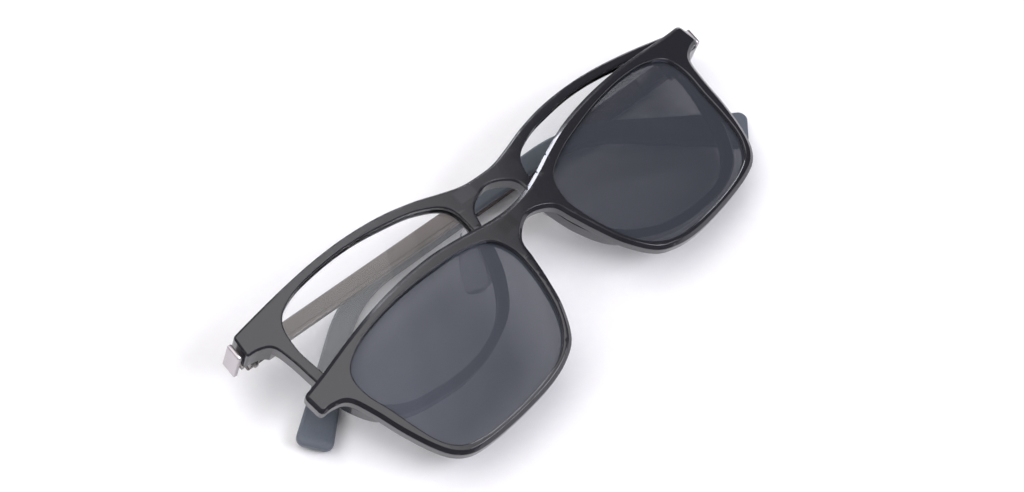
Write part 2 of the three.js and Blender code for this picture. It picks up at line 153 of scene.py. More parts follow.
BOX_LAYERS, BOX_WIDER, BOX_WATTS = 6, 0.16, 44.0
ROOM_LIGHT = 0.09
for layer in range(BOX_LAYERS):
    wider = BOX_WIDER * layer
    soft_box(f"overhead_box_{layer}", (-0.31, 0.15, 1.0), (1.0 + wider, 1.3 + wider),
             BOX_WATTS / BOX_LAYERS, "#fffdfd")
soft_box("far_box", (0.35, 1.1, 0.5), (0.6, 0.16), 5.0, "#f2f4ff")
soft_box("fill_box", (0.35, -0.75, 0.85), (0.7, 0.4), 9.0, "#f6f6ff")
world = bpy.data.worlds.new("studio")
bpy.context.scene.world = world
world.use_nodes = True
room = world.node_tree.nodes["Background"].inputs
room["Color"].default_value = colour("#f6f5fa")
room["Strength"].default_value = ROOM_LIGHT
bpy.context.scene.view_settings.view_transform = "Standard"

# ---- the front: one moulding of rims, bridge and endpieces ----
# Injection-moulded nylon 12 in smoke grey, tumbled and clear-lacquered. Its rims are 4.2 mm deep
# on a 380 mm base curve, with a bevelled edge round the face, a groove that holds each lens, and
# endpieces that thicken to a flat seat for the hinge leaf.
HINGE_U, HINGE_V, HINGE_Z = 66.8, 10.4, -16.6
joints = {joint["name"]: joint for joint in frame["joints"]}
right_pin = Vector(joints["temple_right_hinge"]["pos_m"])
left_pin = Vector(joints["temple_left_hinge"]["pos_m"])
across = (left_pin - right_pin).normalized()
upward = Vector(joints["temple_right_hinge"]["axis"]).normalized()
outward = across.cross(upward)
origin = (right_pin + left_pin) / 2 - (upward * HINGE_V + outward * HINGE_Z) * MM
FACE_R = 380
RIM_DEPTH = 4.2
END_FROM, END_LOW, END_BACK = 61.4, 5.5, -13.2
END_WALL = 0.03  # half the run of the wall between a rim's rear and its endpiece's
FRONT_CORNER = 0.85
FRONT_BROW = [(0, 10.2), (5, 10.5), (10.4, 12), (16.6, 14), (24.7, 15.8), (34.3, 16.7),
              (43.7, 16.6), (53.5, 15.7), (62.4, 14.5), (70.2, 13.3)]
FRONT_LOW = [(70.6, 7.4), (67.4, 7), (64.6, 5.2), (63.2, 0), (62, -8), (60, -15.5), (56, -22),
             (49.3, -25.8), (41, -27.2), (32.5, -27.3), (24, -25.2), (16.2, -20.8), (11.4, -14),
             (8.8, -7), (7.6, -1), (6, 4.2), (0, 7)]
FRONT_OPENING = [(35, 14.6), (26.5, 13.6), (18.2, 11.8), (11.6, 8), (9.9, 1.4), (11.2, -6),
                 (13.8, -12.8), (18.6, -19.4), (26, -23.6), (33, -25), (41, -24.9), (48.6, -23.4),
                 (54.2, -19.6), (57.8, -13), (59.6, -5.6), (60.6, 2.2), (59.2, 9.2), (53.4, 12.9),
                 (44.3, 14.4)]
# Each profile runs from the face to the rear: how far in from the edge, and how deep.
OUTER_EDGE = [(0.56, 0), (0.5, 0.02), (0.45, 0.05), (0.06, 0.37), (0.02, 0.43), (0, 0.51),
              (0, 3.75), (0.04, 3.9), (0.26, 4.15), (0.36, 4.2)]
OPENING_EDGE = [(0.34, 0), (0.28, 0.03), (0.05, 0.28), (0, 0.36), (0, 1.3), (1.0, 1.3), (1.0, 3.5),
                (0, 3.5), (0, 4.0), (0.05, 4.12), (0.2, 4.2)]
SPAN_STEPS = 8  # points from one given point of an outline to the next
# Planes every 5 mm divide a plate, and reach past the whole face.
GRID_STEP = 5.0
GRID_COLUMNS, GRID_ROWS = range(-13, 14), range(-6, 4)


def place(x, y, z):
    """A point of the front's own frame, in millimetres, as a point of the table's, in metres."""
    return origin + (across * x + upward * y + outward * z) * MM


def face_z(x, y, depth):
    """The height of the face's sphere, a given depth behind it."""
    return math.sqrt((FACE_R - depth) ** 2 - x * x - y * y) - FACE_R


def spline(points, steps, closed=False):
    """Evenly stepped points on a smooth curve through the given ones."""
    count = len(points)
    spans = count if closed else count - 1
    made = []
    for i in range(spans):
        pick = [(i + k) % count if closed else min(max(i + k, 0), count - 1) for k in (-1, 0, 1, 2)]
        before, here, after, beyond = (Vector(points[k]) for k in pick)
        leave, arrive = (after - before) / 2, (beyond - here) / 2
        for j in range(steps):
            t = j / steps
            made.append(here + leave * t + (3 * (after - here) - 2 * leave - arrive) * t ** 2
                        + (2 * (here - after) + leave + arrive) * t ** 3)
    return made if closed else made + [Vector(points[-1])]


def mirrored(points):
    """A half outline's other half, in the order that carries on from it."""
    return [(-x, y) for x, y in reversed(points)]


def soften(loop, radius, steps=5, least_turn=math.radians(35), clear=0.05):
    """Rounds the sharp corners of a closed loop, and drops the points that a round takes in."""
    turns = []
    for i, point in enumerate(loop):
        into = (point - loop[i - 1]).normalized()
        away = (loop[(i + 1) % len(loop)] - point).normalized()
        turns.append((into, away, into.angle(away) > least_turn))
    corners = [point for point, turn in zip(loop, turns) if turn[2]]
    made = []
    for corner, (into, away, sharp) in zip(loop, turns):
        if sharp:
            start, end = corner - into * radius, corner + away * radius
            for j in range(steps + 1):
                t = j / steps
                made.append(start * (1 - t) ** 2 + corner * 2 * t * (1 - t) + end * t ** 2)
        elif all((corner - other).length > radius + clear for other in corners):
            made.append(corner)
    return made


def edge_loop(brow, low, corner_radius):
    """The closed edge of a front, clockwise, so that its plastic is on the right."""
    top = spline(mirrored(brow[1:]) + brow, SPAN_STEPS)
    under = spline(low + mirrored(low[:-1]), SPAN_STEPS)
    return soften(top + under, corner_radius)


def opening_loop(points, side):
    """The closed edge of a lens opening, with the plastic on its right."""
    loop = [Vector((p.x * side, p.y)) for p in spline(points, SPAN_STEPS, closed=True)]
    area = sum(a.x * b.y - b.x * a.y for a, b in zip(loop, loop[1:] + loop[:1]))
    return loop if area > 0 else loop[::-1]


def moved(loop, distance, least_cosine=0.5):
    """A closed loop moved to its right by a distance, with its corners mitred."""
    made = []
    for i, point in enumerate(loop):
        into = (point - loop[i - 1]).normalized()
        away = (loop[(i + 1) % len(loop)] - point).normalized()
        middle = (into + away).normalized()
        stretch = 1 / max(least_cosine, middle.dot(into))
        made.append(point + Vector((middle.y, -middle.x)) * distance * stretch)
    return made


def plate(edges, bend, cuts):
    """A moulded plate: edges are (loop, profile) pairs, and bend places each flat point."""
    bm = bmesh.new()
    caps = ([], [])
    for loop, profile in edges:
        rings = []
        for inset, depth in profile:
            rings.append([bm.verts.new((p.x, p.y, depth)) for p in moved(loop, inset)])
        count = len(loop)
        for low, high in zip(rings, rings[1:]):
            for i in range(count):
                j = (i + 1) % count
                bm.faces.new((low[i], low[j], high[j], high[i]))
        for cap, ring in zip(caps, (rings[0], rings[-1])):
            cap.extend(bm.edges.get((ring[i], ring[i - 1])) for i in range(count))
    for cap in caps:
        bmesh.ops.triangle_fill(bm, use_beauty=True, edges=cap)
    for point, normal in cuts:
        everything = bm.verts[:] + bm.edges[:] + bm.faces[:]
        bmesh.ops.bisect_plane(bm, geom=everything, dist=1e-5, plane_co=point, plane_no=normal)
    for vertex in bm.verts:
        vertex.co = bend(*vertex.co)
    return bm


def grid_cuts():
    """Planes that divide a plate finely enough for its curve to look smooth."""
    return ([((i * GRID_STEP, 0, 0), (1, 0, 0)) for i in GRID_COLUMNS]
            + [((0, i * GRID_STEP, 0), (0, 1, 0)) for i in GRID_ROWS])


def front_bend(x, y, depth):
    """Lays the flat plate on the face's sphere, and sets the endpieces' rear back to its seat."""
    if abs(x) > END_FROM and y > END_LOW and depth > RIM_DEPTH / 2:
        return place(x, y, END_BACK + RIM_DEPTH - depth)
    return place(x, y, face_z(x, y, depth))


def pocketed(mesh, corners):
    """Cuts box-shaped magnet pockets, each given by its corner points, into a moulding."""
    bm = bmesh.new()
    for points in corners:
        bmesh.ops.convex_hull(bm, input=[bm.verts.new(p) for p in points])
    cutter = bpy.data.objects.new("pockets", mesh_of(bm, "pockets"))
    bpy.context.scene.collection.objects.link(cutter)
    whole = bpy.data.objects.new("moulding", mesh)
    bpy.context.scene.collection.objects.link(whole)
    cut = whole.modifiers.new("pockets", "BOOLEAN")
    cut.operation, cut.solver, cut.object = "DIFFERENCE", "EXACT", cutter
    view = bpy.context.evaluated_depsgraph_get()
    made = bpy.data.meshes.new_from_object(whole.evaluated_get(view))
    bpy.data.objects.remove(whole)
    bpy.data.objects.remove(cutter)
    return made


def flattened(moulding):
    """Keeps wide faces flat to the light, so that only the narrow rounds between them shade."""
    weigh = moulding.modifiers.new("flats", "WEIGHTED_NORMAL")
    weigh.keep_sharp, weigh.weight = True, 100
    view = bpy.context.evaluated_depsgraph_get()
    moulding.data = bpy.data.meshes.new_from_object(moulding.evaluated_get(view))
    moulding.modifiers.clear()
    return moulding


# Smoke grey nylon: near black in its depth, and a cool grey where it faces a light. The lacquer
# is a thin gloss coat over a slightly uneven moulded surface. The grain is 0.5 mm across.
PATCH_HALF = (0.0026, 0.0017, 1)  # across and up in metres, and its depth doesn't count


def smoke_nylon(name, deep, pale, light_through_place, light_through_turn, light_through_tone):
    """Grey nylon, with a rectangle over an inner magnet painted in the tone of the light that
    passes through the nylon there.
    """
    made, tree, shader, at = surface(name, Roughness=0.16, IOR=1.53, Coat_Weight=0.3,
                                     Coat_Roughness=0.05, Coat_IOR=1.5)
    cloud = node(tree, "ShaderNodeTexNoise", {"Vector": at, "Scale": 38.0, "Detail": 2.0})
    body = node(tree, "ShaderNodeMix", {"Factor": cloud.outputs["Fac"], "A": colour(deep),
                                        "B": colour(pale)}, data_type="RGBA")
    # Painted see-through light: the rectangle over the magnet is toned for how much light passes
    # through the nylon there, in place of real translucency.
    local = node(tree, "ShaderNodeMapping", {"Vector": at, "Location": light_through_place,
                                             "Rotation": light_through_turn, "Scale": PATCH_HALF},
                 vector_type="TEXTURE")
    size = node(tree, "ShaderNodeVectorMath", {0: local.outputs["Vector"]}, operation="ABSOLUTE")
    parts = node(tree, "ShaderNodeSeparateXYZ", {"Vector": size.outputs["Vector"]})
    wide = node(tree, "ShaderNodeMath", {0: parts.outputs["X"], 1: parts.outputs["Y"]},
                operation="MAXIMUM")
    light_through_mask = node(tree, "ShaderNodeMapRange", {"Value": wide.outputs["Value"], "From Min": 0.8,
                                              "From Max": 1.15, "To Min": 1.0, "To Max": 0.0})
    toned = node(tree, "ShaderNodeMix", {"Factor": light_through_mask.outputs["Result"],
                                         "A": body.outputs["Result"], "B": colour(light_through_tone)},
                 data_type="RGBA")
    tree.links.new(toned.outputs["Result"], shader.inputs["Base Color"])
    grain = node(tree, "ShaderNodeTexNoise", {"Vector": at, "Scale": 2000.0, "Detail": 2.0})
    satin = node(tree, "ShaderNodeMapRange", {"Value": grain.outputs["Fac"], "To Min": 0.12,
                                              "To Max": 0.2})
    tree.links.new(satin.outputs["Result"], shader.inputs["Roughness"])
    bump = node(tree, "ShaderNodeBump", {"Height": grain.outputs["Fac"], "Strength": 0.05,
                                         "Distance": 0.00002})
    tree.links.new(bump.outputs["Normal"], shader.inputs["Normal"])
    return made


MAGNET_U, MAGNET_V = 5.6, 8.3
POCKET_U, POCKET_V = 2.1, 1.4
POCKET_DEEP, POCKET_PAST = 1.8, 1.2
turn = Matrix((across, upward, outward)).transposed().to_euler()
# Painted light: the front's rectangle is lighter, for the table's light showing through the nylon
# over the magnet.
front_nylon = smoke_nylon("smoke nylon, front", "#1c1c20", "#222227",
                          place(-MAGNET_U, MAGNET_V, 0), turn, "#2d2d33")
SIDES = (("right", -1), ("left", 1))


def pocket_corners(side, rear_z, spot):
    """The corners of a magnet pocket, which starts past the rear face so that it is open there."""
    return [spot(side * MAGNET_U + dx, MAGNET_V + dy, rear_z + dz)
            for dx in (-POCKET_U, POCKET_U) for dy in (-POCKET_V, POCKET_V)
            for dz in (-POCKET_PAST, POCKET_DEEP)]


end_cuts = [((side * (END_FROM + shift), 0, 0), (1, 0, 0)) for _, side in SIDES
            for shift in (-END_WALL, END_WALL)]
end_cuts += [((0, END_LOW + shift, 0), (0, 1, 0)) for shift in (-END_WALL, END_WALL)]
edges = [(edge_loop(FRONT_BROW, FRONT_LOW, FRONT_CORNER), OUTER_EDGE)]
edges += [(opening_loop(FRONT_OPENING, side), OPENING_EDGE) for _, side in SIDES]
mesh = mesh_of(plate(edges, front_bend, grid_cuts() + end_cuts), "front_moulding")
mesh = pocketed(mesh, [pocket_corners(side, -RIM_DEPTH, place) for _, side in SIDES])
front = flattened(add_piece("front_moulding", mesh, front_nylon))
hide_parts("front_frame")
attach(front, "front")

# ---- clear lenses ----
# Demo lenses of allyl resin, 1.6 mm thick and on the same curve as the front, edged to sit in the
# rim's groove. Hard-coated and clear, so they show as bright and dark lines at their edge.
LENS_SEAT = 0.7
LENS_NEAR, LENS_THICK = 1.6, 1.6
LENS_RINGS = 24
LENS_BEVEL, LENS_TURN_IN = 0.22, 0.994


def lens_mesh(name, points, side, near, thick, bend):
    """A curved lens: rings from its middle to its edge on both faces, with a bevelled rim."""
    rim = moved(opening_loop(points, side), LENS_SEAT)
    centre = sum(rim, Vector((0, 0))) / len(rim)
    shrink = [1 - i / LENS_RINGS for i in range(1, LENS_RINGS)]
    layers = [(k, 0.0) for k in reversed(shrink)] + [(LENS_TURN_IN, 0.0)]
    layers += [(1.0, LENS_BEVEL), (1.0, thick - LENS_BEVEL), (LENS_TURN_IN, thick)]
    layers += [(k, thick) for k in shrink]
    bm = bmesh.new()
    rings = []
    for k, depth in layers:
        ring = [centre + (p - centre) * k for p in rim]
        rings.append([bm.verts.new(bend(p.x, p.y, near + depth)) for p in ring])
    count = len(rim)
    for low, high in zip(rings, rings[1:]):
        for i in range(count):
            j = (i + 1) % count
            bm.faces.new((low[i], low[j], high[j], high[i]))
    for ring, depth in ((rings[0], 0.0), (rings[-1], thick)):
        hub = bm.verts.new(bend(centre.x, centre.y, near + depth))
        for i in range(count):
            bm.faces.new((ring[i], ring[(i + 1) % count], hub))
    return mesh_of(bm, name)


def on_face(x, y, depth):
    """A point of the front, a given depth behind its face."""
    return place(x, y, face_z(x, y, depth))


# Allyl resin with a hard and anti-glare coat: polished and clear, of index 1.5, with the faintest
# haze and hardly any reflection.
clear_resin, tree, shader, at = surface("clear allyl resin", Base_Color=colour("#fbfcfd"), IOR=1.5,
                                        Transmission_Weight=1.0, Roughness=0.0,
                                        Specular_IOR_Level=0.1)
haze = node(tree, "ShaderNodeTexNoise", {"Vector": at, "Scale": 60.0, "Detail": 1.0})
polish = node(tree, "ShaderNodeMapRange", {"Value": haze.outputs["Fac"], "To Min": 0.0,
                                           "To Max": 0.02})
tree.links.new(polish.outputs["Result"], shader.inputs["Roughness"])
for name, side in SIDES:
    mesh = lens_mesh(f"demo_lens_{name}", FRONT_OPENING, side, LENS_NEAR, LENS_THICK, on_face)
    lens = add_piece(f"demo_lens_{name}", mesh, clear_resin)
    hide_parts(f"clear_lens_{name}")
    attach(lens, "front")

# ---- nose pads ----
# Clear nylon blades, overmoulded behind the nasal rims. They splay outwards to the rear, are
# rounded at every edge and frosted by handling.
PAD_ROWS = [(8.9, 2.6, 3.2, 1.0), (9.2, 0, 7.0, 2.4), (9.7, -2.8, 8.8, 3.6), (10.5, -5.8, 9.2, 4.4),
            (11.7, -9, 8.0, 4.4), (13.0, -11.6, 3.6, 2.2)]  # across, up, deep, splay
PAD_THICK, PAD_ROUND = 1.6, 0.75
PAD_GAP = 0.3
PAD_STEPS = 5


def rounded(width, height, radius, steps=5):
    """Points round a rectangle with rounded corners, centred on its middle."""
    made = []
    for corner in range(4):
        sx = 1 if corner in (0, 3) else -1
        sy = 1 if corner < 2 else -1
        for i in range(steps + 1):
            angle = (corner + i / steps) * math.pi / 2
            made.append((sx * (width / 2 - radius) + radius * math.cos(angle),
                         sy * (height / 2 - radius) + radius * math.sin(angle)))
    return made


def loft(name, rings, stations):
    """A closed skin over rings of points. Its UV map is in millimetres, along and around."""
    bm = bmesh.new()
    layer = bm.loops.layers.uv.new("UVMap")
    skins = [[bm.verts.new(p) for p in ring] for ring in rings]
    count = len(rings[0])
    girth = [0.0]
    for i in range(count):
        girth.append(girth[-1] + (rings[-2][(i + 1) % count] - rings[-2][i]).length / MM)
    for r in range(len(skins) - 1):
        for i in range(count):
            j = (i + 1) % count
            face = bm.faces.new((skins[r][i], skins[r][j], skins[r + 1][j], skins[r + 1][i]))
            spots = ((r, i), (r, i + 1), (r + 1, i + 1), (r + 1, i))
            for corner, (row, column) in zip(face.loops, spots):
                corner[layer].uv = (stations[row], girth[column])
    for skin in (skins[0], skins[-1]):
        hub = bm.verts.new(sum((v.co for v in skin), Vector()) / count)
        for i in range(count):
            bm.faces.new((skin[i], skin[(i + 1) % count], hub))
    return mesh_of(bm, name)


# Clear nylon: a frosted, faintly cool see-through plastic of index 1.5.
pad_nylon, tree, shader, at = surface("clear nylon", Base_Color=colour("#e6e7ea"), IOR=1.5,
                                      Transmission_Weight=0.9, Roughness=0.14)
frost = node(tree, "ShaderNodeTexNoise", {"Vector": at, "Scale": 1500.0, "Detail": 2.0})
rub = node(tree, "ShaderNodeMapRange", {"Value": frost.outputs["Fac"], "To Min": 0.06,
                                        "To Max": 0.2})
tree.links.new(rub.outputs["Result"], shader.inputs["Roughness"])
for name, side in SIDES:
    rows = spline(PAD_ROWS, PAD_STEPS)
    rings = []
    for x, y, deep, splay in rows:
        front_z = face_z(x, y, RIM_DEPTH) - PAD_GAP
        ring = []
        for along, over in rounded(deep, PAD_THICK, PAD_ROUND):
            rearward = (along + deep / 2) / deep
            outwards = x + splay * rearward ** 2 + over
            ring.append(place(side * outwards, y, front_z - rearward * deep))
        rings.append(ring)
    mesh = loft(f"nose_blade_{name}", rings, [row[1] for row in rows])
    pad = add_piece(f"nose_blade_{name}", mesh, pad_nylon, sharp_degrees=50)
    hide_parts(f"nose_pad_{name}")
    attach(pad, "front")

# ---- end caps ----
# Stainless caps, stamped and bead-blasted, that cover the outer end of each endpiece and hide the
# hinge. Their front and rear edges are stamped to a small bevel.
CAP_U = 71.2
CAP_THICK, CAP_HIGH, CAP_DEEP = 1.2, 4.4, 10.6
CAP_FROM = 0.7
CAP_ROUND = 0.3
# Each section of a cap: how far behind the cap's front edge, and how much smaller than the whole.
CAP_SECTIONS = [(0, 0.5), (0.12, 0.2), (0.4, 0), (1.2, 0), (5, 0), (CAP_DEEP - 1.2, 0),
                (CAP_DEEP - 0.3, 0), (CAP_DEEP - 0.08, 0.15), (CAP_DEEP, 0.4)]

# Bead-blasted stainless steel: a satin, slightly warm grey with a sparkle 0.15 mm across.
blasted_steel, tree, shader, at = surface("bead-blasted stainless steel", Metallic=1.0,
                                          Base_Color=colour("#b9b3b6"), Roughness=0.34)
pits = node(tree, "ShaderNodeTexNoise", {"Vector": at, "Scale": 6500.0, "Detail": 2.0})
bump = node(tree, "ShaderNodeBump", {"Height": pits.outputs["Fac"], "Strength": 0.12,
                                     "Distance": 0.00002})
tree.links.new(bump.outputs["Normal"], shader.inputs["Normal"])
spread = node(tree, "ShaderNodeMapRange", {"Value": pits.outputs["Fac"], "To Min": 0.26,
                                           "To Max": 0.42})
tree.links.new(spread.outputs["Result"], shader.inputs["Roughness"])
for name, side in SIDES:
    near = face_z(CAP_U, HINGE_V, CAP_FROM)
    rings = []
    for back_by, inset in CAP_SECTIONS:
        section = rounded(CAP_THICK - inset, CAP_HIGH - inset, CAP_ROUND)
        rings.append([place(side * (CAP_U + CAP_THICK / 2 + x), HINGE_V + y, near - back_by)
                      for x, y in section])
    mesh = loft(f"steel_cap_{name}", rings, [back_by for back_by, _ in CAP_SECTIONS])
    cap = add_piece(f"steel_cap_{name}", mesh, blasted_steel, sharp_degrees=40)
    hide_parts(f"end_cap_{name}")
    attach(cap, "front")

# ---- hinge leaves, knuckles, screws and magnets ----
# Stamped nickel-silver hinge parts and nickel-plated block magnets. Stamping and plating leave
# every edge slightly rounded, so each takes a fine bevel over its machined shape.
nickel_silver, tree, shader, at = surface("nickel silver", Metallic=1.0, Roughness=0.36,
                                          Base_Color=colour("#8f8c8a"))
scuffs = node(tree, "ShaderNodeTexNoise", {"Vector": at, "Scale": 1800.0, "Detail": 3.0})
worn = node(tree, "ShaderNodeMapRange", {"Value": scuffs.outputs["Fac"], "To Min": 0.28,
                                         "To Max": 0.46})
tree.links.new(worn.outputs["Result"], shader.inputs["Roughness"])
nickel_plate, tree, shader, at = surface("nickel plate", Metallic=1.0, Roughness=0.2,
                                         Base_Color=colour("#9c9ca1"))
bloom = node(tree, "ShaderNodeTexNoise", {"Vector": at, "Scale": 900.0, "Detail": 2.0})
dull = node(tree, "ShaderNodeMapRange", {"Value": bloom.outputs["Fac"], "To Min": 0.16,
                                         "To Max": 0.3})
tree.links.new(dull.outputs["Result"], shader.inputs["Roughness"])
HINGE_EASE, SCREW_EASE, MAGNET_EASE = 0.12, 0.06, 0.2


def eased(cad_name, name, finish, body, width):
    """A machined part with its facets merged and its edges eased by a fine bevel."""
    bm = bmesh.new()
    bm.from_mesh(frame["nodes"][cad_name].data)
    bmesh.ops.remove_doubles(bm, verts=bm.verts, dist=1e-6)
    bmesh.ops.dissolve_limit(bm, angle_limit=math.radians(1), verts=bm.verts, edges=bm.edges)
    rough = bpy.data.objects.new("rough", mesh_of(bm, "rough"))
    bpy.context.scene.collection.objects.link(rough)
    ease = rough.modifiers.new("ease", "BEVEL")
    ease.width, ease.segments = width * MM, 2
    ease.limit_method, ease.angle_limit = "ANGLE", math.radians(32)
    view = bpy.context.evaluated_depsgraph_get()
    mesh = bpy.data.meshes.new_from_object(rough.evaluated_get(view))
    bpy.data.objects.remove(rough)
    made = add_piece(name, mesh, finish, sharp_degrees=30)
    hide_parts(cad_name)
    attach(made, body)


for name, _ in SIDES:
    eased(f"hinge_leaf_{name}", f"stamped_leaf_{name}", nickel_silver,
          "front", HINGE_EASE)
    eased(f"hinge_screw_{name}", f"slotted_screw_{name}", nickel_silver,
          "front", SCREW_EASE)
    eased(f"temple_knuckle_{name}", f"stamped_knuckle_{name}", nickel_silver,
          f"temple_{name}", HINGE_EASE)
    eased(f"front_magnet_{name}", f"block_magnet_{name}", nickel_plate,
          "front", MAGNET_EASE)
    eased(f"clip_magnet_{name}", f"clip_block_{name}", nickel_plate,
          "clip", MAGNET_EASE)

# ---- leaf rivets ----
# Four short nickel-silver rivets, two through each leaf into the endpiece. Each has a plain shank
# and a low domed head that was formed by pressing.
RIVET_U, RIVET_STEP = 63.4, 1.3
LEAF_GAP, LEAF_THICK = 0.3, 1.1
LEAF_REAR = END_BACK - LEAF_GAP - LEAF_THICK
RIVET_SIZES = (("Shank radius", 0.0005), ("Shank length", 0.0034), ("Head radius", 0.00095),
               ("Head height", 0.0005))


def rivet_tree():
    """Sets a rivet on every point: a shank joined to a squashed ball, turned to a direction."""
    made = bpy.data.node_groups.new("rivet setter", "GeometryNodeTree")
    face = made.interface
    face.new_socket("Points", in_out="INPUT", socket_type="NodeSocketGeometry")
    for label, value in RIVET_SIZES:
        face.new_socket(label, in_out="INPUT", socket_type="NodeSocketFloat").default_value = value
    face.new_socket("Direction", in_out="INPUT", socket_type="NodeSocketVector")
    face.new_socket("Finish", in_out="INPUT", socket_type="NodeSocketMaterial")
    face.new_socket("Rivets", in_out="OUTPUT", socket_type="NodeSocketGeometry")
    given = node(made, "NodeGroupInput").outputs
    shank = node(made, "GeometryNodeMeshCylinder", {"Vertices": 20, "Radius": given["Shank radius"],
                                                    "Depth": given["Shank length"]})
    half = node(made, "ShaderNodeMath", {0: given["Shank length"], 1: -0.5}, operation="MULTIPLY")
    drop = node(made, "ShaderNodeCombineXYZ", {"Z": half.outputs["Value"]})
    sunk = node(made, "GeometryNodeTransform", {"Geometry": shank.outputs["Mesh"],
                                                "Translation": drop.outputs["Vector"]})
    squash = node(made, "ShaderNodeMath", {0: given["Head height"], 1: given["Head radius"]},
                  operation="DIVIDE")
    shape = node(made, "ShaderNodeCombineXYZ", {"X": 1.0, "Y": 1.0, "Z": squash.outputs["Value"]})
    ball = node(made, "GeometryNodeMeshUVSphere", {"Segments": 24, "Rings": 12,
                                                   "Radius": given["Head radius"]})
    dome = node(made, "GeometryNodeTransform", {"Geometry": ball.outputs["Mesh"],
                                                "Scale": shape.outputs["Vector"]})
    whole = node(made, "GeometryNodeMeshBoolean", operation="UNION")
    for part in (sunk, dome):
        made.links.new(part.outputs["Geometry"], whole.inputs["Mesh 2"])
    aim = node(made, "FunctionNodeAlignRotationToVector", {"Vector": given["Direction"]}, axis="Z")
    set_out = node(made, "GeometryNodeInstanceOnPoints", {
        "Points": given["Points"], "Instance": whole.outputs["Mesh"],
        "Rotation": aim.outputs["Rotation"]})
    real = node(made, "GeometryNodeRealizeInstances", {"Geometry": set_out.outputs["Instances"]})
    dressed = node(made, "GeometryNodeSetMaterial", {"Geometry": real.outputs["Geometry"],
                                                     "Material": given["Finish"]})
    node(made, "NodeGroupOutput", {"Rivets": dressed.outputs["Geometry"]})
    return made


bm = bmesh.new()
for _, side in SIDES:
    for step in (-RIVET_STEP, RIVET_STEP):
        bm.verts.new(place(side * RIVET_U, HINGE_V + step, LEAF_REAR))
points = bpy.data.meshes.new("rivet_points")
bm.to_mesh(points)
bm.free()
setter = bpy.data.objects.new("rivet_points", points)
bpy.context.scene.collection.objects.link(setter)
work = setter.modifiers.new("rivets", "NODES")
work.node_group = rivet_tree()
sockets = {item.name: item.identifier for item in work.node_group.interface.items_tree}
work[sockets["Direction"]] = tuple(-outward)
work[sockets["Finish"]] = nickel_silver
view = bpy.context.evaluated_depsgraph_get()
mesh = bpy.data.meshes.new_from_object(setter.evaluated_get(view))
bpy.data.objects.remove(setter)
rivets = add_piece("leaf_rivets", mesh, nickel_silver, sharp_degrees=30)
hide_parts(*(f"leaf_rivet_{level}_{name}" for name, _ in SIDES
                      for level in ("lower", "upper")))
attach(rivets, "front")

# ---- temples: bar and sleeve ----
# Each temple is one strip of gunmetal-plated stainless, brushed along its length and grooved near
# its lower edge, whose thin end is pushed into a moulded sleeve that bends over the ear. The
# wearer's left temple is folded last, so it stops short of the right one.
TEMPLE_LENGTH = 143
BEND_AT, BEND_R, BEND_ANGLE = 90, 34, math.radians(39)
BOW, BOW_LEAD, BOW_POWER = 8, 6, 1.7
BAR_HEIGHT, BAR_THICK, BAR_OUT, BAR_FRONT = 4.6, 1.8, 2.8, 1.2
BAR_ROUND, GROOVE_DEEP = 0.4, 0.16
BAR_END = (0.93, 0.82)  # how much smaller a bar's ends are, in height and in thickness
SLEEVE_FROM = 64
SLEEVE_HEIGHT, SLEEVE_THICK, SLEEVE_ROUND, SLEEVE_FLAT = 5.0, 2.4, 0.8, 0.05
FLARE_FROM, FLARE_HIGHER, FLARE_POWER = 100, 4.2, 1.3
SWELL_THICKER, SWELL_POWER = 1.0, 1.5
TAPER = 1.6  # how much faster a sleeve's height shrinks at its ends than its thickness
SOCKET_TO, SOCKET_FIT, SOCKET_ROUND = 70, 0.4, 0.3
TANG = (2.6, 1.0)
# The rounds at a sleeve's mouth and tip: how far from that end, and how much thinner.
SLEEVE_MOUTH = [(0, 0.5), (0.12, 0.16), (0.4, 0.0)]
SLEEVE_TIP = [(1.5, 0.22), (0.7, 0.8), (0.25, 1.35), (0, 1.9)]
FOLD_SHORT = math.radians(joints["temple_right_hinge"]["range_deg"][1]
                          - joints["temple_left_hinge"]["range_deg"][1])
pins = {"right": right_pin, "left": left_pin}


def temple_ring(name, side, s, section):
    """A section of the temple, a distance from its hinge, where it lies folded."""
    turned = min(max((s - BEND_AT) / BEND_R, 0), BEND_ANGLE)
    rest = max(0, s - BEND_AT - BEND_R * BEND_ANGLE)
    curl = max(0, (s - BEND_AT + BOW_LEAD) / (TEMPLE_LENGTH - BEND_AT + BOW_LEAD))
    x = min(s, BEND_AT) + BEND_R * math.sin(turned) + rest * math.cos(BEND_ANGLE)
    y = -BEND_R * (1 - math.cos(turned)) - rest * math.sin(BEND_ANGLE)
    z = -BAR_OUT + BOW * curl ** BOW_POWER
    swing = Matrix.Rotation(-FOLD_SHORT if side > 0 else 0, 3, upward)
    ring = []
    for high, thick in section:
        spot = (across * -side * (x + high * math.sin(turned))
                + upward * (y + high * math.cos(turned)) + outward * (z + thick))
        ring.append(pins[name] + swing @ spot * MM)
    return ring


def grooved(height, thick, radius, depth):
    """A bar's section: rounded corners and a fine groove low on both flat sides."""
    ring = rounded(height, thick, radius, 4)
    groove = [(-1.12, 0), (-1.2, depth), (-1.46, depth), (-1.54, 0)]
    side = [(x, thick / 2 - cut) for x, cut in groove]
    return ring[:5] + side + ring[5:15] + [(x, -y) for x, y in reversed(side)] + ring[15:]


def sleeve_section(s, shrink=0.0):
    """A section of the sleeve, which swells all along and flares in height over the ear."""
    along = (s - SLEEVE_FROM) / (TEMPLE_LENGTH - SLEEVE_FROM)
    flare = max(0, (s - FLARE_FROM) / (TEMPLE_LENGTH - FLARE_FROM))
    height = SLEEVE_HEIGHT + FLARE_HIGHER * flare ** FLARE_POWER
    thick = SLEEVE_THICK + SWELL_THICKER * along ** SWELL_POWER
    radius = min(SLEEVE_ROUND, (thick - shrink) / 2 - SLEEVE_FLAT)
    return rounded(height - shrink * TAPER, thick - shrink, radius)


